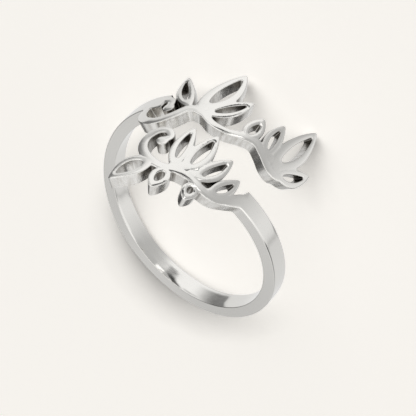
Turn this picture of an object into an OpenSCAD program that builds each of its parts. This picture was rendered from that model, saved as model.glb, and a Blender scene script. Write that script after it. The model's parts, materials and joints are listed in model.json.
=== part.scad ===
// Open bypass ring: a slim square-edged band whose two ends run past each other
// as two rows of pierced leaf scroll, cast in one piece.
// Lengths are millimetres. The scroll is drawn flat, as [u, z] on the ring's outer
// face: u is the arc from the middle of the head, z runs along the finger from the
// rear to the front. The drawing is then wrapped on the ring with radial walls.

/* [Band] */
// Inside diameter of the ring
inner_d = 17.0; // [15.5:0.1:21]
// Thickness of the metal, from the finger outwards
metal_t = 1.12; // [0.9:0.02:1.4]
// Width of the band along the finger
band_w = 1.75; // [1.4:0.05:2.4]

/* [Scroll] */
// Width of the scroll's stems
stem_w = 0.82; // [0.7:0.02:1.0]
// Length that is left solid between a leaf's pierced middle and its tip
leaf_tip = 0.75; // [0.5:0.05:1]

/* [Hidden] */
$fn = 128;

inner_r = inner_d / 2;
outer_r = inner_r + metal_t;
// The middle of the head, as an angle round the ring from the band's lowest point
head_phi = 178;
// How far the raw walls stand past both faces of the metal. Each wall reaches
// one step further than the wall before it, so that no two of them end in one face
reach = 0.3;
reach_step = 0.12;
shell_h = 40;
// Where the shell's seam runs, as an angle like the head's: just past the rear row's
// right end, where the ring is one band wide
seam_phi = 126;

// Where the band's two ends stand: arc from the middle of the head
front_end_u = 5.15;
rear_end_u = -6.1;
// The band climbs along the finger from its front end, round the ring, to its rear end.
// Columns: share of the way, z
band_route = [
    [0.0, 2.13],
    [0.2, 1.43],
    [0.4, 0.68],
    [0.6, -0.47],
    [0.8, -1.75],
    [1.0, -2.85]
];
band_steps = 10;

// Stem of the rear row, from its right end to the eye of the left volute.
// Columns: u, z, share of the stem's width
rear_stem = [
    [6.6, -2.20, 0.40],
    [5.9, -1.85, 0.90],
    [5.0, -1.90, 1.00],
    [4.0, -2.35, 1.00],
    [2.9, -2.75, 1.00],
    [1.7, -2.35, 0.90],
    [0.5, -1.80, 0.80],
    [-0.9, -1.80, 0.80],
    [-2.2, -2.40, 0.95],
    [-3.4, -2.35, 1.00],
    [-4.3, -1.05, 1.00],
    [-5.3, -0.10, 1.00],
    [-6.6, -0.15, 1.00],
    [-7.5, -1.05, 1.00],
    [-7.5, -2.25, 1.00],
    [-6.7, -3.05, 1.00],
    [-5.6, -2.85, 0.90],
    [-5.3, -1.95, 0.80]
];
// Leaves of the rear row.
// Columns: base u, base z, tip u, tip z, half width, bend, share of the width pierced
rear_leaves = [
    [-3.5, -2.5, -6.3, -6.3, 0.82, -0.30, 0.36],
    [-2.8, -2.4, -1.5, -8.1, 1.28, 0.30, 0.46],
    [-2.2, -2.3, 0.7, -5.8, 0.84, 0.30, 0.38],
    [1.9, -2.3, 2.2, -5.1, 0.80, 0.12, 0.38],
    [4.3, -2.2, 3.8, -6.0, 0.80, -0.18, 0.36],
    [5.1, -1.9, 6.2, -8.1, 1.18, 0.25, 0.42],
    [5.7, -1.9, 8.3, -4.9, 0.82, 0.30, 0.38]
];
// Round bosses of the rear row, at the roots of its leaves and in the volute's eye.
// Columns: u, z, radius
rear_bosses = [
    [-2.5, -2.7, 0.62],
    [4.65, -2.6, 0.55],
    [5.6, -2.4, 0.60],
    [-5.3, -1.95, 0.50]
];
// The leaves of the rear row whose tips touch the ground when the ring lies down
foot_leaves = [1, 5];

// Stem of the front row, from the band's front end to the eye of the left volute.
// Columns: u, z, share of the stem's width
front_stem = [
    [6.4, 2.05, 1.95],
    [5.4, 2.35, 1.55],
    [4.5, 3.35, 1.10],
    [3.5, 4.15, 1.00],
    [2.3, 4.35, 1.00],
    [1.0, 4.10, 1.00],
    [-0.3, 4.20, 1.00],
    [-1.6, 4.55, 1.00],
    [-2.9, 4.25, 1.00],
    [-4.0, 3.45, 1.00],
    [-4.5, 2.30, 1.00],
    [-4.2, 1.15, 1.00],
    [-3.4, 0.75, 0.90],
    [-2.75, 1.30, 0.80],
    [-3.1, 2.05, 0.70]
];
// Leaves of the front row, with the rear row's columns
front_leaves = [
    [-0.6, 4.2, -1.6, -0.5, 0.84, -0.18, 0.38],
    [0.2, 4.1, 0.4, -0.9, 0.98, 0.08, 0.40],
    [1.1, 4.1, 2.6, 0.2, 0.86, 0.22, 0.38],
    [2.9, 4.3, 4.1, 1.2, 0.74, 0.15, 0.36],
    [-2.4, 4.2, -4.4, 7.6, 1.22, 0.30, 0.50],
    [-0.9, 4.4, -0.9, 6.9, 0.82, 0.05, 0.40],
    [1.5, 4.3, 1.8, 6.2, 0.68, -0.05, 0.36]
];
// Round bosses of the front row, with the rear row's columns
front_bosses = [
    [-0.35, 3.85, 0.50],
    [0.85, 3.80, 0.50],
    [3.0, 4.1, 0.45],
    [-3.1, 2.05, 0.50]
];

stem_steps = 3;
leaf_steps = 12;
boss_steps = 7;
// Angle at which a boss's outline is cut square at its two ends
boss_cut = 8;
// A blade's widest place moves towards its base as this falls below 1
blade_lean = 0.88;
// A blade's outline is fuller as this falls below 1
blade_round = 0.8;
// Half width that is left at a blade's two ends
blade_end = 0.07;
// Where along a leaf its pierced middle starts
pierced_from = 0.24;

// A flat [u, z] point, stood on the ring at radius r
function on_ring(p, r) =
    let (phi = head_phi - p[0] * 180 / (PI * outer_r))
    [r * sin(phi), -r * cos(phi), p[1]];

function unit(v) = v / norm(v);
function clamped(i, n) = max(0, min(n - 1, i));

// Smooth curve through a table's rows, whatever its columns
function between(a, b, c, d, t) =
    (2 * b + (c - a) * t + (2 * a - 5 * b + 4 * c - d) * t * t + (3 * b - a - 3 * c + d) * t * t * t) / 2;
function smooth(rows, steps) =
    let (n = len(rows))
    [
        for (i = [0 : n - 2], k = [0 : steps - 1])
            between(rows[clamped(i - 1, n)], rows[i], rows[i + 1], rows[clamped(i + 2, n)], k / steps),
        rows[n - 1]
    ];

// Left-hand normal of a curve of [u, z, ...] rows at row i
function normal_at(curve, i) =
    let (
        n = len(curve),
        ahead = curve[clamped(i + 1, n)],
        behind = curve[clamped(i - 1, n)],
        along = unit([ahead[0] - behind[0], ahead[1] - behind[1]])
    )
    [-along[1], along[0]];

// One edge of a stem; side is 1 or -1
function stem_edge(curve, side) = [
    for (i = [0 : len(curve) - 1])
        [curve[i][0], curve[i][1]] + side * curve[i][2] * stem_w / 2 * normal_at(curve, i)
];

// A leaf blade's half width, as a share of its widest, at share s of its length
function blade(s) = pow(sin(180 * pow(s, blade_lean)), blade_round);

// One edge of a blade that lies along a leaf's bent middle line
function leaf_edge(leaf, side, half, from, to) =
    let (
        base = [leaf[0], leaf[1]],
        tip = [leaf[2], leaf[3]],
        along = unit(tip - base),
        across = [-along[1], along[0]]
    )
    [
        for (k = [0 : leaf_steps])
            let (
                s = k / leaf_steps / 2 + (1 - cos(180 * k / leaf_steps)) / 4,
                t = from + (to - from) * s,
                w = blade_end + (half - blade_end) * blade(s)
            )
            base + t * (tip - base) + (leaf[5] * 4 * t * (1 - t) + side * w) * across
    ];

function pierced_to(leaf) = 1 - leaf_tip / norm([leaf[2] - leaf[0], leaf[3] - leaf[1]]);

// One edge of a round boss
function boss_edge(boss, side) = [
    for (k = [0 : boss_steps])
        let (a = boss_cut + (180 - 2 * boss_cut) * k / boss_steps)
        [boss[0] - boss[2] * cos(a), boss[1] + side * boss[2] * sin(a)]
];

// One edge of the band, once round from its front end to its rear end
function band_edge(side) =
    let (round_u = 2 * PI * outer_r)
    [
        for (p = smooth(band_route, band_steps))
            [front_end_u + p[0] * (round_u + rear_end_u - front_end_u), p[1] + side * band_w / 2]
    ];

function whole_leaf_edge(leaf, side) = leaf_edge(leaf, side, leaf[4], 0, 1);

// How the ring lies: on two leaf tips of the rear row and on the rear edge of the band.
// The band is turned up about the line through the two tips until the ground touches it.
feet = [for (i = foot_leaves) on_ring([rear_leaves[i][2], rear_leaves[i][3]], inner_r)];
foot_line = unit(feet[1] - feet[0]);
square_up = unit([0, 0, 1] - foot_line[2] * foot_line);
across_feet = cross(square_up, foot_line);
to_band = across_feet[1] < 0 ? across_feet : -across_feet;
lean = min([
    for (p = band_edge(-1))
        let (d = on_ring(p, outer_r) - feet[0])
        atan2(d * square_up, d * to_band)
]);
up = square_up * cos(lean) - to_band * sin(lean);
// The head, which is the ring's +y side, looks to -y when the ring lies
back = -unit([0, 1, 0] - up[1] * up);
lying = [cross(back, up), back, up];

// The lying ring's middle and lowest place, from every outline on both faces of the metal
outline_points = [
    for (side = [-1, 1]) each concat(
        band_edge(side),
        stem_edge(smooth(rear_stem, stem_steps), side),
        stem_edge(smooth(front_stem, stem_steps), side),
        [for (one = concat(rear_leaves, front_leaves)) each whole_leaf_edge(one, side)]
    )
];
laid = [for (p = outline_points, r = [inner_r, outer_r]) lying * on_ring(p, r)];
low = [for (k = [0 : 2]) min([for (p = laid) p[k]])];
high = [for (k = [0 : 2]) max([for (p = laid) p[k]])];
place = [-(low[0] + high[0]) / 2, -(low[1] + high[1]) / 2, -low[2]];

// Wall between two edges of equal length, with every side face on radial lines
module radial_wall(left, right, reach) {
    n = len(left);
    r_in = inner_r - reach;
    r_out = outer_r + reach;
    corners = [
        for (i = [0 : n - 1])
            each [
                on_ring(left[i], r_in),
                on_ring(right[i], r_in),
                on_ring(right[i], r_out),
                on_ring(left[i], r_out)
            ]
    ];
    sides = [
        for (i = [0 : n - 2], k = [0 : 3])
            let (a = 4 * i + k, b = 4 * i + (k + 1) % 4)
            each [[a, b + 4, b], [a, a + 4, b + 4]]
    ];
    last = 4 * (n - 1);
    ends = [[0, 1, 2], [0, 2, 3], [last, last + 2, last + 1], [last, last + 3, last + 2]];
    polyhedron(corners, concat(sides, ends));
}

module stem(table, reach) {
    curve = smooth(table, stem_steps);
    radial_wall(stem_edge(curve, 1), stem_edge(curve, -1), reach);
}

module leaf(row, reach) {
    radial_wall(whole_leaf_edge(row, 1), whole_leaf_edge(row, -1), reach);
}

// The pierced middle of a leaf
module piercing(row) {
    half = row[4] * row[6];
    radial_wall(
        leaf_edge(row, 1, half, pierced_from, pierced_to(row)),
        leaf_edge(row, -1, half, pierced_from, pierced_to(row)),
        reach
    );
}

module boss(row, reach) {
    radial_wall(boss_edge(row, 1), boss_edge(row, -1), reach);
}

module scroll(stem_table, leaves, bosses) {
    stem(stem_table, reach + reach_step);
    for (i = [0 : len(bosses) - 1]) boss(bosses[i], reach + (2 + i) * reach_step);
    for (i = [0 : len(leaves) - 1]) leaf(leaves[i], reach + (2 + len(bosses) + i) * reach_step);
}

module band() {
    radial_wall(band_edge(1), band_edge(-1), reach);
}

// The metal between the finger's cylinder and the outer cylinder
module shell() {
    rotate(seam_phi - 90)
        difference() {
            cylinder(r = outer_r, h = shell_h, center = true);
            cylinder(r = inner_r, h = 2 * shell_h, center = true);
        }
}

// The scroll and the band, joined as one mesh before they are cut to the shell and pierced
module outline() {
    resize([0, 0, 0]) {
        band();
        scroll(rear_stem, rear_leaves, rear_bosses);
        scroll(front_stem, front_leaves, front_bosses);
    }
}

// The ring about its finger's axis, with the head's middle at +y and the front at +z
module standing_ring() {
    difference() {
        intersection() {
            shell();
            outline();
        }
        for (one = concat(rear_leaves, front_leaves)) piercing(one);
    }
}

module ring() {
    color("silver")
        translate(place)
            multmatrix([for (axis = lying) concat(axis, 0)])
                standing_ring();
}

ring();
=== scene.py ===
"""Looks of an open bypass ring with two rows of pierced leaf scroll, in polished silver.

The ring is one casting. Its outline is drawn flat with the same tables as the solid's, as
[u, z] in millimetres on the outer face: u is the arc from the middle of the head, z runs
along the finger. The drawing is then stood on the ring, with softly broken edges.
"""

import json
import math

import bpy
import numpy as np
from mathutils import Matrix, Vector
from mathutils.geometry import delaunay_2d_cdt


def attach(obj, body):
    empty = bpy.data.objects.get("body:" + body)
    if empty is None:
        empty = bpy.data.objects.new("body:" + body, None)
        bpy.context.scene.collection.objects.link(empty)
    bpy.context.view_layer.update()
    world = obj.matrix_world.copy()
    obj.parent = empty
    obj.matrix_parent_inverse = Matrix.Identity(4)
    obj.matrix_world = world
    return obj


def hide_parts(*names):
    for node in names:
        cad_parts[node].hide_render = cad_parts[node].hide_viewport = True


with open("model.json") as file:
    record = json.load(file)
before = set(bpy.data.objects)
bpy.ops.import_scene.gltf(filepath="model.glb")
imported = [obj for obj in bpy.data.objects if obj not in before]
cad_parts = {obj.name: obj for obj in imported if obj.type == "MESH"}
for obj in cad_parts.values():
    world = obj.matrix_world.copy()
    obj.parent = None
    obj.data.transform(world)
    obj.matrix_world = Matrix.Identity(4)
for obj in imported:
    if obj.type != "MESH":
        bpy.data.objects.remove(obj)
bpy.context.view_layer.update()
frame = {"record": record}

MM = 0.001

# The ring's own sizes, as in the solid
INNER_R = 8.5
METAL_T = 1.12
OUTER_R = INNER_R + METAL_T
ROUND_U = 2 * math.pi * OUTER_R
HEAD_PHI = math.radians(178)
BAND_W = 1.75
STEM_W = 0.82
LEAF_TIP = 0.75
PIERCED_FROM = 0.24
BLADE_LEAN = 0.88
BLADE_ROUND = 0.8
BLADE_END = 0.07

# Where the band runs into the two rows of scroll, along u
FRONT_END_U = 5.15
REAR_END_U = -6.1
# The band's route from the front row to the rear one. Columns: share of the way, z
BAND_ROUTE = [
    [0.0, 2.13],
    [0.2, 1.43],
    [0.4, 0.68],
    [0.6, -0.47],
    [0.8, -1.75],
    [1.0, -2.85],
]

# Stems. Columns: u, z, share of the stem's width
REAR_STEM = [
    [6.6, -2.20, 0.40],
    [5.9, -1.85, 0.90],
    [5.0, -1.90, 1.00],
    [4.0, -2.35, 1.00],
    [2.9, -2.75, 1.00],
    [1.7, -2.35, 0.90],
    [0.5, -1.80, 0.80],
    [-0.9, -1.80, 0.80],
    [-2.2, -2.40, 0.95],
    [-3.4, -2.35, 1.00],
    [-4.3, -1.05, 1.00],
    [-5.3, -0.10, 1.00],
    [-6.6, -0.15, 1.00],
    [-7.5, -1.05, 1.00],
    [-7.5, -2.25, 1.00],
    [-6.7, -3.05, 1.00],
    [-5.6, -2.85, 0.90],
    [-5.3, -1.95, 0.80],
]
FRONT_STEM = [
    [6.4, 2.05, 1.95],
    [5.4, 2.35, 1.55],
    [4.5, 3.35, 1.10],
    [3.5, 4.15, 1.00],
    [2.3, 4.35, 1.00],
    [1.0, 4.10, 1.00],
    [-0.3, 4.20, 1.00],
    [-1.6, 4.55, 1.00],
    [-2.9, 4.25, 1.00],
    [-4.0, 3.45, 1.00],
    [-4.5, 2.30, 1.00],
    [-4.2, 1.15, 1.00],
    [-3.4, 0.75, 0.90],
    [-2.75, 1.30, 0.80],
    [-3.1, 2.05, 0.70],
]
# Leaves. Columns: base u, base z, tip u, tip z, half width, bend, share of the width pierced
REAR_LEAVES = [
    [-3.5, -2.5, -6.3, -6.3, 0.82, -0.30, 0.36],
    [-2.8, -2.4, -1.5, -8.1, 1.28, 0.30, 0.46],
    [-2.2, -2.3, 0.7, -5.8, 0.84, 0.30, 0.38],
    [1.9, -2.3, 2.2, -5.1, 0.80, 0.12, 0.38],
    [4.3, -2.2, 3.8, -6.0, 0.80, -0.18, 0.36],
    [5.1, -1.9, 6.2, -8.1, 1.18, 0.25, 0.42],
    [5.7, -1.9, 8.3, -4.9, 0.82, 0.30, 0.38],
]
FRONT_LEAVES = [
    [-0.6, 4.2, -1.6, -0.5, 0.84, -0.18, 0.38],
    [0.2, 4.1, 0.4, -0.9, 0.98, 0.08, 0.40],
    [1.1, 4.1, 2.6, 0.2, 0.86, 0.22, 0.38],
    [2.9, 4.3, 4.1, 1.2, 0.74, 0.15, 0.36],
    [-2.4, 4.2, -4.4, 7.6, 1.22, 0.30, 0.50],
    [-0.9, 4.4, -0.9, 6.9, 0.82, 0.05, 0.40],
    [1.5, 4.3, 1.8, 6.2, 0.68, -0.05, 0.36],
]
# Round bosses. Columns: u, z, radius
REAR_BOSSES = [
    [-2.5, -2.7, 0.62],
    [4.65, -2.6, 0.55],
    [5.6, -2.4, 0.60],
    [-5.3, -1.95, 0.50],
]
FRONT_BOSSES = [
    [-0.35, 3.85, 0.50],
    [0.85, 3.80, 0.50],
    [3.0, 4.1, 0.45],
    [-3.1, 2.05, 0.50],
]

# How finely the outline's curves are drawn
CURVE_STEPS = 8
LEAF_STEPS = 40
# The flat sheet that the outline is drawn on, at [u, z] from its low to its high corner
SHEET_LOW = (-6.5, -9.0)
SHEET_HIGH = (ROUND_U + 9.3, 8.6)
SHEET_STEP = 0.05
SHEET_MARGIN = 0.3
# The sheet's distance to the metal before anything is drawn
FAR = 9.0
# Fillet where two forms run together, as a casting has
FILLET = 0.14
# The outline is walked in fine steps and smoothed, which rounds its corners
WALK_STEP = 0.03
SMOOTHINGS = 8
LONGEST_STEP = 0.13
LARGEST_TURN = math.radians(13)
SHORTEST_LOOP = 0.6
FEWEST_POINTS = 8
# Lengths under these count as nothing
NO_SLOPE = 1e-6
SAME_PLACE = 1e-7

# The softly broken edge between a face and a wall, and the points inside a face
EDGE_R = 0.05
EDGE_STEPS = 4
INSIDE_STEP = 0.10
INSIDE_CLEAR = 0.06
# How far out of a wall its recess is felt, in steps; the recess sets the painted shade in cracks
# and narrow holes
RECESS_STEPS = (0.15, 0.3, 0.6, 1.0)
# Polishing rolls a face off towards its edges: how steeply at the edge, and over what width
OUTER_ROLL = (math.radians(12), 0.38)
INNER_ROLL = (math.radians(7), 0.6)
# The two faces. Columns: radius, which way it looks from the finger, how it rolls off
FACES = (
    (OUTER_R, 1, OUTER_ROLL),
    (INNER_R, -1, INNER_ROLL),
)


def unit(v):
    return v / np.linalg.norm(v)


def smooth(rows, steps):
    """A smooth curve through a table's rows, whatever its columns."""
    rows = np.array(rows)
    held = np.vstack([rows[:1], rows, rows[-1:]])
    t = np.arange(steps)[:, None] / steps
    spans = []
    for a, b, c, d in zip(held, held[1:], held[2:], held[3:]):
        square = 2 * a - 5 * b + 4 * c - d
        cube = 3 * b - a - 3 * c + d
        spans.append((2 * b + (c - a) * t + square * t**2 + cube * t**3) / 2)
    return np.vstack(spans + [rows[-1:]])


def blade(leaf, half, start, end):
    """The outline of a blade on a leaf's bent middle line, from share start to share end of it."""
    base_u, base_z, tip_u, tip_z, _, bend, _ = leaf
    base = np.array([base_u, base_z])
    reach = np.array([tip_u, tip_z]) - base
    along = unit(reach)
    across = np.array([-along[1], along[0]])
    k = np.linspace(0, 1, LEAF_STEPS + 1)[:, None]
    share = k / 2 + (1 - np.cos(math.pi * k)) / 4
    t = start + (end - start) * share
    swell = np.sin(math.pi * share**BLADE_LEAN).clip(0) ** BLADE_ROUND
    wide = BLADE_END + (half - BLADE_END) * swell
    middle = base + t * reach + bend * 4 * t * (1 - t) * across
    return np.vstack([middle + wide * across, (middle - wide * across)[::-1]])


def whole_leaf(leaf):
    return blade(leaf, leaf[4], 0, 1)


def leaf_hole(leaf):
    length = math.hypot(leaf[2] - leaf[0], leaf[3] - leaf[1])
    return blade(leaf, leaf[4] * leaf[6], PIERCED_FROM, 1 - LEAF_TIP / length)


def band_outline():
    """The band from its front end round the ring to its rear end, as one long strip."""
    route = smooth(BAND_ROUTE, CURVE_STEPS * 2)
    u = FRONT_END_U + route[:, 0] * (ROUND_U + REAR_END_U - FRONT_END_U)
    front = np.stack([u, route[:, 1] + BAND_W / 2], 1)
    rear = np.stack([u, route[:, 1] - BAND_W / 2], 1)
    return np.vstack([front, rear[::-1]])


def polygon_distance(u, z, corners):
    """Signed distance from each place to a closed outline, negative inside it."""
    nearest = np.full(u.shape, np.inf)
    inside = np.zeros(u.shape, bool)
    for (au, az), (bu, bz) in zip(corners, np.roll(corners, -1, axis=0)):
        du, dz = bu - au, bz - az
        length2 = du * du + dz * dz
        if length2 == 0:
            continue
        share = (((u - au) * du + (z - az) * dz) / length2).clip(0, 1)
        nearest = np.minimum(nearest, (u - au - share * du) ** 2 + (z - az - share * dz) ** 2)
        if dz != 0:
            inside ^= ((az > z) != (bz > z)) & (u < au + (z - az) * du / dz)
    return np.where(inside, -1, 1) * np.sqrt(nearest)


def stroke_distance(u, z, line):
    """Signed distance from each place to a stroke along a line of [u, z, half width] rows."""
    nearest = np.full(u.shape, np.inf)
    for (au, az, aw), (bu, bz, bw) in zip(line, line[1:]):
        du, dz = bu - au, bz - az
        share = (((u - au) * du + (z - az) * dz) / (du * du + dz * dz)).clip(0, 1)
        gap = np.hypot(u - au - share * du, z - az - share * dz) - (aw + share * (bw - aw))
        nearest = np.minimum(nearest, gap)
    return nearest


class Sheet:
    """The flat sheet that the metal is drawn on: signed distance to the metal's outline."""

    def __init__(self, low, high):
        self.us = np.arange(low[0], high[0], SHEET_STEP)
        self.zs = np.arange(low[1], high[1], SHEET_STEP)
        self.field = np.full((len(self.us), len(self.zs)), FAR)

    def window(self, points, margin):
        """The part of the sheet around some points, and the places in it."""
        low = points.min(0) - margin
        high = points.max(0) + margin
        at_u = slice(*np.searchsorted(self.us, (low[0], high[0])))
        at_z = slice(*np.searchsorted(self.zs, (low[1], high[1])))
        u, z = np.meshgrid(self.us[at_u], self.zs[at_z], indexing="ij")
        return (at_u, at_z), u, z

    def add(self, window, distance):
        """Joins a form to the metal with a small fillet."""
        here = self.field[window]
        near = (FILLET - np.abs(here - distance)).clip(0)
        self.field[window] = np.minimum(here, distance) - near**2 / (4 * FILLET)

    def add_polygon(self, corners):
        window, u, z = self.window(corners, SHEET_MARGIN)
        self.add(window, polygon_distance(u, z, corners))

    def add_stroke(self, line):
        window, u, z = self.window(line[:, :2], line[:, 2].max() + SHEET_MARGIN)
        self.add(window, stroke_distance(u, z, line))

    def pierce(self, corners):
        window, u, z = self.window(corners, SHEET_MARGIN)
        self.field[window] = np.maximum(self.field[window], -polygon_distance(u, z, corners))

    def read(self, grid, places):
        """The values of a grid on the sheet at some places."""
        at = (places - [self.us[0], self.zs[0]]) / SHEET_STEP
        i = at[:, 0].astype(int).clip(0, len(self.us) - 2)
        j = at[:, 1].astype(int).clip(0, len(self.zs) - 2)
        s, t = (at - np.floor(at)).T
        near = grid[i, j] * (1 - s) + grid[i + 1, j] * s
        far = grid[i, j + 1] * (1 - s) + grid[i + 1, j + 1] * s
        return near * (1 - t) + far * t

    def depth_and_way_out(self, places):
        """How deep each place lies in the metal, and the flat way out to the nearest edge."""
        slopes = np.gradient(self.field, SHEET_STEP)
        slope = np.stack([self.read(grid, places) for grid in slopes], 1)
        length = np.linalg.norm(slope, axis=1, keepdims=True).clip(NO_SLOPE)
        return -self.read(self.field, places), slope / length

    def recess(self, places, ways):
        """How shut in each place on the outline is: 0 on an open wall, 1 in a crack."""
        shut = []
        for step in RECESS_STEPS:
            room = self.read(self.field, places + step * ways)
            shut.append(1 - (room / step).clip(0, 1))
        return np.mean(shut, axis=0)

    def crossed_cells(self):
        """The cells that the outline crosses, as [i, j] rows."""
        inside = self.field < 0
        count = inside[:-1, :-1] * 1 + inside[1:, :-1] + inside[1:, 1:] + inside[:-1, 1:]
        return np.argwhere((count > 0) & (count < 4))

    def place(self, side):
        """Where the outline crosses one side of a cell, from the field at the side's two ends."""
        (i, j), (k, m) = side
        a, b = self.field[i, j], self.field[k, m]
        share = a / (a - b)
        return (
            self.us[i] + share * (self.us[k] - self.us[i]),
            self.zs[j] + share * (self.zs[m] - self.zs[j]),
        )

    def outlines(self):
        """The outline's closed lines, each with the metal on its left."""
        follows = {}
        for i, j in self.crossed_cells():
            corners = [(i, j), (i + 1, j), (i + 1, j + 1), (i, j + 1)]
            inside = [self.field[c] < 0 for c in corners]
            sides = [tuple(sorted((corners[k], corners[(k + 1) % 4]))) for k in range(4)]
            leaving = [k for k in range(4) if inside[k] and not inside[(k + 1) % 4]]
            for k in leaving:
                m = (k + 1) % 4
                while not inside[(m + 1) % 4]:
                    m = (m + 1) % 4
                follows[sides[k]] = sides[m]
        lines = []
        while follows:
            start, side = follows.popitem()
            walk = [start]
            while side != start:
                walk.append(side)
                side = follows.pop(side)
            lines.append(np.array([self.place(s) for s in walk]))
        return lines


def spaced(line, costs):
    """A closed line walked again in equal steps of cost; costs has one value for each side."""
    total = np.concatenate([[0], np.cumsum(costs)])
    count = max(FEWEST_POINTS, math.ceil(total[-1]))
    closed = np.vstack([line, line[:1]])
    at = np.arange(count) * total[-1] / count
    return np.stack([np.interp(at, total, closed[:, k]) for k in (0, 1)], 1)


def sides_of(line):
    return np.roll(line, -1, axis=0) - line


def length_of(line):
    return np.linalg.norm(sides_of(line), axis=1).sum()


def evened(line):
    """A closed line with its corners softened and its points close together only where it bends."""
    steps = np.linalg.norm(sides_of(line), axis=1)
    line = spaced(line, steps / WALK_STEP)
    for _ in range(SMOOTHINGS):
        line = (np.roll(line, 1, axis=0) + 2 * line + np.roll(line, -1, axis=0)) / 4
    sides = sides_of(line)
    turns = np.unwrap(np.arctan2(sides[:, 1], sides[:, 0]))
    whole_turns = 2 * math.pi * round((turns[-1] - turns[0]) / (2 * math.pi))
    bend = np.abs(np.diff(turns, append=turns[0] + whole_turns))
    bend = (np.roll(bend, 1) + bend) / 2
    costs = np.linalg.norm(sides, axis=1) / LONGEST_STEP + bend / LARGEST_TURN
    return spaced(line, costs)


def outward(line):
    """At each point of a closed line, the flat unit way out of the metal."""
    ahead = np.roll(line, -1, axis=0) - np.roll(line, 1, axis=0)
    ahead /= np.linalg.norm(ahead, axis=1, keepdims=True)
    return np.stack([ahead[:, 1], -ahead[:, 0]], 1)


def draw_metal():
    """The whole ring drawn on one sheet: front row, band, and the rear row one round further on."""
    sheet = Sheet(SHEET_LOW, SHEET_HIGH)
    sheet.add_polygon(band_outline())
    rows = [
        (FRONT_STEM, FRONT_LEAVES, FRONT_BOSSES, (0, 0)),
        (REAR_STEM, REAR_LEAVES, REAR_BOSSES, (ROUND_U, 0)),
    ]
    for stem, leaves, bosses, shift in rows:
        line = smooth(stem, CURVE_STEPS) * [1, 1, STEM_W / 2]
        sheet.add_stroke(line + [*shift, 0])
        for u, z, radius in bosses:
            boss = np.array([[u, z, radius], [u + SHEET_STEP, z, radius]])
            sheet.add_stroke(boss + [*shift, 0])
        for leaf in leaves:
            sheet.add_polygon(whole_leaf(leaf) + shift)
    for _, leaves, _, shift in rows:
        for leaf in leaves:
            sheet.pierce(leaf_hole(leaf) + shift)
    lines = [evened(line) for line in sheet.outlines()]
    lines = [line for line in lines if length_of(line) > SHORTEST_LOOP]
    return sheet, sorted(lines, key=len, reverse=True)


def inside_points(sheet):
    """Points spread evenly inside the metal, clear of its outline."""
    stride = round(INSIDE_STEP / SHEET_STEP)
    field = sheet.field[::stride, ::stride]
    at_u, at_z = np.nonzero(field < -(EDGE_R + INSIDE_CLEAR))
    stagger = (at_z % 2) * INSIDE_STEP / 2
    return np.stack([sheet.us[::stride][at_u] + stagger, sheet.zs[::stride][at_z]], 1)


def is_inside(places, lines):
    """True for each place that lies in the metal between some closed lines."""
    starts = np.vstack(lines)
    ends = np.vstack([np.roll(line, -1, axis=0) for line in lines])
    inside = np.zeros(len(places), bool)
    for (au, az), (bu, bz) in zip(starts, ends):
        if az != bz:
            crossed = (az > places[:, 1]) != (bz > places[:, 1])
            inside ^= crossed & (places[:, 0] < au + (places[:, 1] - az) * (bu - au) / (bz - az))
    return inside


def face_of(lines, inside):
    """A face of the metal between closed lines: its triangles, as rows of point numbers."""
    points = np.vstack(lines + [inside])
    edges = []
    start = 0
    for line in lines:
        edges += [(start + k, start + (k + 1) % len(line)) for k in range(len(line))]
        start += len(line)
    spots = [Vector(point) for point in points]
    _, _, triangles, kept, _, _ = delaunay_2d_cdt(spots, edges, [], 0, SAME_PLACE)
    number = [k[0] if k else -1 for k in kept]
    triangles = np.array([[number[k] for k in t] for t in triangles])
    triangles = triangles[(triangles >= 0).all(1)]
    middles = points[triangles].mean(1)
    return triangles[is_inside(middles, lines)]


def ring_axes():
    """The ring's centre and its own x, y and z, from the stated finger hole. Its head is at +y,
    and the ring lies with that way square to the row's X."""
    mount = next(m for m in frame["record"]["mounts"] if m["name"] == "finger_hole")
    ring_z = Vector(mount["axis"]).normalized()
    ring_y = Vector((0, -ring_z.z, ring_z.y)).normalized()
    return Vector(mount["pos_m"]), Matrix((ring_y.cross(ring_z), ring_y, ring_z)).transposed()


CENTRE, AXES = ring_axes()


def on_ring(flat, radius):
    """Flat places stood on the ring at a radius, and the way from the finger there."""
    phi = HEAD_PHI - flat[:, 0] / OUTER_R
    radial = np.stack([np.sin(phi), -np.cos(phi), 0 * phi], 1)
    return radial * radius + flat[:, 1:] * [0, 0, 1], radial


def flat_way(flat_normal, radial, radius):
    """A flat way stood on the ring: the way out of a radial wall, from that of its flat outline."""
    along_u = np.stack([radial[:, 1], -radial[:, 0], 0 * radial[:, 0]], 1)
    stretch = OUTER_R / radius
    normal = flat_normal[:, :1] * stretch * along_u + flat_normal[:, 1:] * [0, 0, 1]
    return normal / np.linalg.norm(normal, axis=1, keepdims=True)


def roll_drop(depth, steep, width):
    """How far a rolled-off face has sunk at a depth from its edge."""
    return steep * width / 3 * np.clip(1 - depth / width, 0, 1) ** 3


def roll_tilt(depth, steep, width):
    """How far a rolled-off face leans towards its wall there."""
    return steep * np.clip(1 - depth / width, 0, 1) ** 2


def profile():
    """The section from the outer face over the wall to the inner face. Columns: how far inside
    the outline, radius, share of the wall in the normal, which way the nearer face looks."""
    rows = []
    for face_r, side, (steep, width) in FACES:
        top = face_r - side * roll_drop(0, steep, width)
        rounded = [
            (
                EDGE_R * (1 - math.sin(a)) / (1 - math.sin(steep)),
                top - side * EDGE_R * (math.cos(steep) - math.cos(a)),
                math.sin(a),
                side,
            )
            for a in np.linspace(steep, math.pi / 2, EDGE_STEPS + 1)
        ]
        rows += rounded if side > 0 else rounded[::-1]
    return rows


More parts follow.
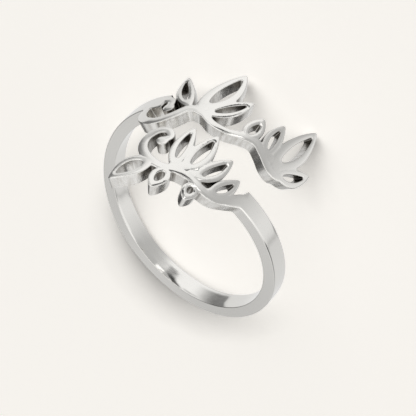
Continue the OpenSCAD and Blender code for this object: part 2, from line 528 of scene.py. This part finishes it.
def wall_rows(outline, ways):
    """The points round the outline, a row of them for each row of the profile. Columns: places,
    normals, how much each point is wall, flat places with the radius, for the textures."""
    rows = []
    for depth, radius, share, side in profile():
        flat = outline - depth * ways
        at, radial = on_ring(flat, radius)
        facing = side * math.sqrt(1 - share**2) * radial
        normal = facing + share * flat_way(ways, radial, radius)
        level = np.full(len(at), radius)
        rows.append((at, normal, np.full(len(at), share), np.column_stack([flat, level])))
    return rows


def face_rows(middle, depth, way_out):
    """The points inside the outer face and those inside the inner one, in the same columns."""
    rows = []
    for face_r, side, (steep, width) in FACES:
        radius = (face_r - side * roll_drop(depth - EDGE_R, steep, width))[:, None]
        tilt = roll_tilt(depth - EDGE_R, steep, width)[:, None]
        at, radial = on_ring(middle, radius)
        facing = side * np.cos(tilt) * radial
        normal = facing + np.sin(tilt) * flat_way(way_out, radial, face_r)
        rows.append((at, normal, np.zeros(len(at)), np.column_stack([middle, radius])))
    return rows


def wall_faces(lines, rows):
    """The wall's faces, as rows of point numbers, between one row of points and the next."""
    count = sum(len(line) for line in lines)
    faces = []
    start = 0
    for line in lines:
        here = start + np.arange(len(line))
        ahead = start + (np.arange(len(line)) + 1) % len(line)
        for row in range(rows - 1):
            a, b = here + row * count, ahead + row * count
            faces += np.stack([a, b, b + count, a + count], 1).tolist()
        start += len(line)
    return faces


def both_faces(triangles, count, rows, inside):
    """The outer face on the wall's first row of points and the inner one on its last."""
    to_last = (rows - 1) * count
    outer = np.where(triangles < count, triangles, triangles + to_last)
    inner = np.where(triangles < count, triangles + to_last, triangles + to_last + inside)
    return outer[:, ::-1].tolist() + inner.tolist()


def store(mesh, name, kind, field, values):
    """Keeps a value for each of the mesh's points, for the material to read."""
    made = mesh.attributes.new(name, kind, "POINT")
    made.data.foreach_set(field, values.astype(np.float32).ravel())


def in_scene(name, data):
    """A new object of the scene."""
    made = bpy.data.objects.new(name, data)
    bpy.context.scene.collection.objects.link(made)
    return made


def ring_piece():
    """The ring's body: two faces, the walls between them and softly broken edges."""
    sheet, lines = draw_metal()
    normals = [outward(line) for line in lines]
    outline, ways = np.vstack(lines), np.vstack(normals)
    inset = [line - EDGE_R * way for line, way in zip(lines, normals)]
    middle = inside_points(sheet)
    middle = middle[is_inside(middle, inset)]
    triangles = face_of(inset, middle)

    rows = wall_rows(outline, ways)
    faces = wall_faces(lines, len(rows))
    faces += both_faces(triangles, len(outline), len(rows), len(middle))
    shut = np.tile(sheet.recess(outline, ways), len(rows))
    rows += face_rows(middle, *sheet.depth_and_way_out(middle))
    places, shading, wallness, flats = (np.concatenate(column) for column in zip(*rows))

    turn = np.array(AXES)
    mesh = bpy.data.meshes.new("ring_body")
    mesh.from_pydata((np.array(CENTRE) + MM * places @ turn.T).tolist(), [], faces)
    mesh.shade_smooth()
    store(mesh, "wall", "FLOAT", "value", wallness)
    # How shut in each wall point is, which sets the painted shade in cracks and narrow holes
    store(mesh, "recess", "FLOAT", "value", np.concatenate([shut, np.zeros(2 * len(middle))]))
    store(mesh, "flat", "FLOAT_VECTOR", "vector", flats)
    mesh.normals_split_custom_set_from_vertices((shading @ turn.T).tolist())
    return in_scene("ring_body", mesh)


def feed(tree, socket, value):
    """Sets a socket to a value, or links it to another node's output."""
    if isinstance(value, bpy.types.NodeSocket):
        tree.links.new(value, socket)
    else:
        socket.default_value = value


def add_node(tree, kind, settings, inputs):
    """A new node, with its settings and its inputs."""
    made = tree.nodes.new(kind)
    for name, value in settings.items():
        setattr(made, name, value)
    for name, value in inputs.items():
        feed(tree, made.inputs[name], value)
    return made


def attribute(tree, name, output):
    return add_node(tree, "ShaderNodeAttribute", {"attribute_name": name}, {}).outputs[output]


def noise(tree, places, scale):
    """Cloudy noise over some places, sized along each axis."""
    inputs = {0: places, 1: scale}
    sized = add_node(tree, "ShaderNodeVectorMath", {"operation": "MULTIPLY"}, inputs)
    inputs = {"Vector": sized.outputs["Vector"], "Scale": 1.0, "Detail": NOISE_DETAIL}
    return add_node(tree, "ShaderNodeTexNoise", {}, inputs).outputs["Fac"]


def ranged(tree, value, low, high, to_low, to_high):
    """A value moved from one range to another and held inside it."""
    inputs = {"Value": value, "From Min": low, "From Max": high}
    inputs |= {"To Min": to_low, "To Max": to_high}
    return add_node(tree, "ShaderNodeMapRange", {}, inputs).outputs["Result"]


def eased(tree, value, low, high):
    """0 below one value, 1 past another, with a soft passage."""
    inputs = {"Value": value, "From Min": low, "From Max": high}
    settings = {"interpolation_type": "SMOOTHSTEP"}
    return add_node(tree, "ShaderNodeMapRange", settings, inputs).outputs["Result"]


def mixed(tree, share, a, b):
    """Two numbers or two colours mixed by a share."""
    coloured = isinstance(a, (tuple, bpy.types.NodeSocketColor))
    kind = "Color" if coloured else "Float"
    node = add_node(tree, "ShaderNodeMix", {"data_type": "RGBA" if coloured else "FLOAT"}, {})
    sockets = {socket.identifier: socket for socket in [*node.inputs, *node.outputs]}
    for name, value in (("A_" + kind, a), ("B_" + kind, b), ("Factor_Float", share)):
        feed(tree, sockets[name], value)
    return sockets["Result_" + kind]


def maths(tree, operation, *values):
    """The result of one step of arithmetic."""
    inputs = dict(enumerate(values))
    return add_node(tree, "ShaderNodeMath", {"operation": operation}, inputs).outputs[0]


def product(tree, a, b):
    return maths(tree, "MULTIPLY", a, b)


def grey(light):
    return (light, light, light, 1)


def new_material(name):
    """A material, its node tree and its shader."""
    material = bpy.data.materials.new(name)
    material.use_nodes = True
    return material, material.node_tree, material.node_tree.nodes["Principled BSDF"]


SILVER_FACE = (0.95, 0.935, 0.898, 1)
SILVER_SIDE = (0.90, 0.885, 0.85, 1)
SILVER_WALL = (0.95, 0.935, 0.90, 1)
SILVER_STREAK = (0.61, 0.575, 0.525, 1)
# Painted shade: the dark colour the walls take in cracks and narrow holes
PAINTED_RECESS_SHADE = (0.155, 0.14, 0.12, 1)
# Textures are sized by the ring's flat millimetres: along u, along z, through the metal
STREAKS = (3.0, 3.0, 1.0)
GRAIN = (5.5, 5.5, 5.0)
POLISH = (1.1, 2.6, 0.0)
HAIRLINES = (3.0, 42.0, 0.0)
NOISE_DETAIL = 2.0
# What a value from 0 to 1 comes to. Columns: value from, to, result from, to
STREAK_TARNISH = (0.42, 0.72, 0.0, 0.55)
# Painted shade on the walls, by how shut in they are
RECESS_SHADE_RANGE = (0.20, 0.80, 0.0, 0.92)
FACE_ROUGHNESS = (0.3, 0.7, 0.07, 0.13)
CAST_ROUGHNESS = (0.3, 0.7, 0.20, 0.34)
SIDE_ROUGHNESS = 0.24
# The relief of the textures: its depth on a cast wall, the shares of it that the sides and the
# faces have, the share of hairlines in the polish, and of grain in the cast wall
RELIEF = 0.02 * MM
SIDE_RELIEF = 0.08
FACE_RELIEF = 0.10
HAIRLINE_SHARE = 0.06
GRAIN_SHARE = 0.5
# The band's sides are filed smooth between these places along u, and the head's walls stay as cast
SMOOTH_FROM = (5.0, 6.2)
SMOOTH_TO = (ROUND_U - 8.8, ROUND_U - 7.6)


def silver():
    """Polished silver on the faces; on the walls a cast grain with streaks through the metal, and
    painted shade that darkens the walls in cracks and narrow holes.
    """
    material, tree, shader = new_material("polished_silver")
    shader.inputs["Metallic"].default_value = 1

    flat = attribute(tree, "flat", "Vector")
    wall = attribute(tree, "wall", "Fac")
    recess = attribute(tree, "recess", "Fac")
    streaks = noise(tree, flat, STREAKS)
    grain = noise(tree, flat, GRAIN)
    polish = noise(tree, flat, POLISH)
    hairlines = noise(tree, flat, HAIRLINES)

    u = add_node(tree, "ShaderNodeSeparateXYZ", {}, {0: flat}).outputs["X"]
    cast = mixed(tree, eased(tree, u, *SMOOTH_FROM), 1.0, eased(tree, u, *SMOOTH_TO))

    tarnish = ranged(tree, streaks, *STREAK_TARNISH)
    # Painted shade: the walls darken in cracks and narrow holes, where shade falls
    painted_shade = ranged(tree, recess, *RECESS_SHADE_RANGE)
    wall_colour = mixed(tree, tarnish, SILVER_WALL, SILVER_STREAK)
    wall_colour = mixed(tree, painted_shade, wall_colour, PAINTED_RECESS_SHADE)
    wall_colour = mixed(tree, cast, SILVER_SIDE, wall_colour)
    feed(tree, shader.inputs["Base Color"], mixed(tree, wall, SILVER_FACE, wall_colour))

    face_rough = ranged(tree, polish, *FACE_ROUGHNESS)
    wall_rough = mixed(tree, cast, SIDE_ROUGHNESS, ranged(tree, streaks, *CAST_ROUGHNESS))
    feed(tree, shader.inputs["Roughness"], mixed(tree, wall, face_rough, wall_rough))

    face_height = product(tree, mixed(tree, HAIRLINE_SHARE, polish, hairlines), FACE_RELIEF)
    wall_height = mixed(tree, GRAIN_SHARE, streaks, grain)
    wall_height = product(tree, wall_height, mixed(tree, cast, SIDE_RELIEF, 1.0))
    height = mixed(tree, wall, face_height, wall_height)
    inputs = {"Height": height, "Distance": RELIEF, "Strength": 1.0}
    bump = add_node(tree, "ShaderNodeBump", {}, inputs)
    feed(tree, shader.inputs["Normal"], bump.outputs["Normal"])
    return material


FLOOR_COLOUR = (0.845, 0.82, 0.785, 1)
FLOOR_GLOW = (0.750, 0.728, 0.690, 1)
FLOOR_HALF = 3.0
# Light comes from the top of the picture, swung a little towards its right
LIGHT_SWING = math.radians(6)
# The contact shadow: how far it reaches, the low light that draws it, the openness at which it is
# darkest and at which it is gone, how dark it is, and how finely it is worked out
CONTACT_REACH = 6 * MM
CONTACT_HEIGHT = math.radians(5)
CONTACT_RANGE = (0.68, 0.93)
CONTACT_DARK = 0.10
CONTACT_SAMPLES = 32


def light_way(height):
    """The way towards a light at some height above the floor."""
    turn = bpy.context.scene.camera.rotation_quaternion
    across = turn @ Vector((math.sin(LIGHT_SWING), math.cos(LIGHT_SWING), 0))
    across.z = 0
    return across.normalized() * math.cos(height) + Vector((0, 0, math.sin(height)))


def pale_paper():
    """Matt paper, evenly lit but for the contact shadow of what lies on it."""
    material, tree, shader = new_material("pale_paper")
    shader.inputs["Base Color"].default_value = FLOOR_COLOUR
    shader.inputs["Roughness"].default_value = 1
    shader.inputs["Specular IOR Level"].default_value = 0
    shader.inputs["Emission Strength"].default_value = 1
    low_light = dict(enumerate(light_way(CONTACT_HEIGHT)))
    towards = add_node(tree, "ShaderNodeCombineXYZ", {}, low_light).outputs[0]
    settings = {"samples": CONTACT_SAMPLES}
    inputs = {"Distance": CONTACT_REACH, "Normal": towards}
    openness = add_node(tree, "ShaderNodeAmbientOcclusion", settings, inputs).outputs["AO"]
    lit = ranged(tree, openness, *CONTACT_RANGE, CONTACT_DARK, 1.0)
    feed(tree, shader.inputs["Emission Color"], mixed(tree, lit, grey(0), FLOOR_GLOW))
    return material


def floor_piece():
    """A plain pale floor, which the ring doesn't mirror."""
    half = FLOOR_HALF
    corners = [(-half, -half, 0), (half, -half, 0), (half, half, 0), (-half, half, 0)]
    mesh = bpy.data.meshes.new("floor")
    mesh.from_pydata(corners, [], [(0, 1, 2, 3)])
    mesh.materials.append(pale_paper())
    floor = in_scene("floor", mesh)
    floor.visible_glossy = False


# The camera, in the ring's own axes: a turn about one line, how far off, and where it looks
CAMERA_TURN = Vector((0.8163, -0.5013, -0.3576))
CAMERA_AWAY = 145.05 * MM
PIXELS = 416
PIXELS_PER_MM = 11.969
CENTRE_PIXEL = (191.66, 215.17)
SENSOR = 36.0


def make_camera():
    """The photograph's angle to the ring, with the ring at its place in the picture."""
    turn = Matrix.Rotation(CAMERA_TURN.length, 3, CAMERA_TURN.normalized())
    right, up, out = (AXES @ Vector(row) for row in turn)
    data = bpy.data.cameras.new("camera")
    data.sensor_width = SENSOR
    data.lens = SENSOR * PIXELS_PER_MM * CAMERA_AWAY / MM / PIXELS
    camera = in_scene("camera", data)
    camera.location = CENTRE + CAMERA_AWAY * out
    aim = CENTRE + MM / PIXELS_PER_MM * (
        (PIXELS / 2 - CENTRE_PIXEL[0]) * right + (CENTRE_PIXEL[1] - PIXELS / 2) * up
    )
    out = (camera.location - aim).normalized()
    right = up.cross(out).normalized()
    up = out.cross(right)
    camera.rotation_mode = "QUATERNION"
    camera.rotation_quaternion = Matrix((right, up, out)).transposed().to_quaternion()
    bpy.context.scene.camera = camera


# What stands round the ring in the studio, in three belts along the finger's axis. The angle goes
# round the finger from the head, towards the picture's right. Columns: angle in degrees, brightness
REAR_BELT = [
    [-180, 0.75],
    [-150, 0.80],
    [-135, 0.77],
    [-120, 0.72],
    [-95, 0.71],
    [-90, 0.64],
    [-52, 0.88],
    [-40, 0.92],
    [-8, 0.91],
    [1, 0.85],
    [12, 0.58],
    [24, 0.49],
    [36, 0.475],
    [48, 0.56],
    [60, 0.66],
    [78, 0.76],
    [90, 0.76],
    [96, 0.69],
    [101, 0.50],
    [106, 0.65],
    [160, 0.69],
    [180, 0.75],
]
MIDDLE_BELT = [
    [-180, 0.45],
    [-150, 0.10],
    [-130, 0.04],
    [-70, 0.04],
    [-52, 0.80],
    [-30, 0.94],
    [-5, 0.78],
    [20, 0.96],
    [45, 0.76],
    [70, 0.94],
    [100, 0.62],
    [125, 0.85],
    [150, 0.70],
    [165, 0.80],
    [180, 0.45],
]
FRONT_BELT = [
    [-180, 0.73],
    [-170, 0.68],
    [-161, 0.56],
    [-150, 0.72],
    [-138, 0.45],
    [-125, 0.08],
    [-70, 0.06],
    [-55, 0.82],
    [-25, 0.98],
    [5, 0.76],
    [35, 0.98],
    [60, 0.70],
    [85, 0.60],
    [120, 0.85],
    [140, 0.62],
    [180, 0.73],
]
# Heights along the finger's axis over which one belt passes into the next
REAR_TO_MIDDLE = (-0.46, -0.30)
MIDDLE_TO_FRONT = (0.15, 0.42)
# What closes the studio at its two ends. Columns: height at which it starts, and from which it is
# all there is, brightness
ENDS = [
    [-0.76, -0.92, 0.52],
    [0.82, 0.94, 0.86],
]
# Cards and flags before the belts, the nearest last. Columns: angle from, its soft edge,
# angle to, its soft edge, height from, height to, soft edge of both, how many degrees it leans
# back for each unit of height, brightness
PANELS = [
    [-60, 8, 70, 8, -0.40, -0.12, 0.05, 0, 1.15],
    [-14, 6, 50, 10, -0.57, -0.27, 0.04, 0, 0.46],
    [-91.5, 3, -39, 36, -0.62, -0.34, 0.06, 0, 0.20],
    [-54, 10, -26, 8, -0.50, -0.33, 0.08, 0, 0.52],
    [-16, 7, 3, 5, -0.58, -0.33, 0.04, 70, 0.06],
    [-1, 2, 12, 2, -0.52, -0.28, 0.02, 0, 1.20],
    [52, 10, 94, 10, -0.48, -0.30, 0.04, 0, 0.88],
    [88, 8, 174, 8, -0.43, 0.02, 0.05, 0, 0.08],
    [96, 5, 114, 5, -0.98, -0.65, 0.06, 0, 0.36],
]
# The brightest that the studio gets
MOST_LIGHT = 1.2
# What the camera sees past the floor, and the light that falls on the floor from all round
PLAIN_PALE = (0.93, 0.905, 0.865, 1)
DIFFUSE_LIGHT = 0.08
# The key light: its height above the floor, how wide it is and how strong
KEY_HEIGHT = math.radians(38)
KEY_ANGLE = math.radians(40)
KEY_STRENGTH = 0.35


def belt(tree, angle, table):
    """A ramp of brightness round the ring."""
    ramp = add_node(tree, "ShaderNodeValToRGB", {}, {"Fac": angle})
    stops = ramp.color_ramp.elements
    while len(stops) < len(table):
        stops.new(0.5)
    for stop, (degrees, _) in zip(stops, table):
        stop.position = (degrees + 180) / 360
    for stop, (_, light) in zip(stops, table):
        stop.color = grey(light / MOST_LIGHT)
    return ramp.outputs["Color"]


def share_along(tree, way, axis):
    inputs = {0: way, 1: axis}
    node = add_node(tree, "ShaderNodeVectorMath", {"operation": "DOT_PRODUCT"}, inputs)
    return node.outputs["Value"]


def between(tree, value, low, soft_low, high, soft_high):
    """1 between two values, with soft edges."""
    rise = eased(tree, value, low, low + soft_low)
    return product(tree, rise, eased(tree, value, high, high - soft_high))


def studio(tree):
    """What the metal mirrors."""
    way = add_node(tree, "ShaderNodeTexCoord", {}, {}).outputs["Generated"]
    right, up, out = (share_along(tree, way, axis) for axis in AXES.col)
    angle = ranged(tree, maths(tree, "ARCTAN2", right, up), -math.pi, math.pi, 0.0, 1.0)
    tables = (REAR_BELT, MIDDLE_BELT, FRONT_BELT)
    rear, middle, front = (belt(tree, angle, table) for table in tables)
    light = mixed(tree, eased(tree, out, *REAR_TO_MIDDLE), rear, middle)
    light = mixed(tree, eased(tree, out, *MIDDLE_TO_FRONT), light, front)
    for start, whole, bright in ENDS:
        light = mixed(tree, eased(tree, out, start, whole), light, grey(bright / MOST_LIGHT))
    degrees = ranged(tree, angle, 0.0, 1.0, -180.0, 180.0)
    for start, soft_start, end, soft_end, low, high, soft, lean, bright in PANELS:
        leant = maths(tree, "MULTIPLY_ADD", out, lean, -lean * low)
        turned = maths(tree, "ADD", degrees, leant)
        across = between(tree, turned, start, soft_start, end, soft_end)
        share = product(tree, across, between(tree, out, low, soft, high, soft))
        light = mixed(tree, share, light, grey(bright / MOST_LIGHT))
    return light


def background(tree, colour, strength):
    inputs = {"Color": colour, "Strength": strength}
    return add_node(tree, "ShaderNodeBackground", {}, inputs).outputs[0]


def chosen(tree, switch, off, on):
    """One light or another, by the kind of ray that asks."""
    return add_node(tree, "ShaderNodeMixShader", {}, {0: switch, 1: off, 2: on}).outputs[0]


def make_surround():
    """The studio for reflections, a soft light on the floor and a plain pale surround to see."""
    world = bpy.data.worlds.new("studio")
    bpy.context.scene.world = world
    world.use_nodes = True
    tree = world.node_tree
    rays = add_node(tree, "ShaderNodeLightPath", {}, {}).outputs
    mirrored = background(tree, studio(tree), MOST_LIGHT)
    soft = background(tree, grey(1), DIFFUSE_LIGHT)
    light = chosen(tree, rays["Is Diffuse Ray"], mirrored, soft)
    light = chosen(tree, rays["Is Camera Ray"], light, background(tree, PLAIN_PALE, 1))
    feed(tree, tree.nodes["World Output"].inputs["Surface"], light)


def make_key():
    """A large soft light, which the metal doesn't mirror."""
    data = bpy.data.lights.new("key", "SUN")
    data.angle = KEY_ANGLE
    data.energy = KEY_STRENGTH
    key = in_scene("key", data)
    key.visible_glossy = False
    key.rotation_mode = "QUATERNION"
    key.rotation_quaternion = light_way(KEY_HEIGHT).to_track_quat("Z", "Y")


make_camera()
make_surround()
make_key()
floor_piece()
ring = ring_piece()
ring.data.materials.append(silver())
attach(ring, "root")
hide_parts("ring")
bpy.context.scene.view_settings.view_transform = "Standard"
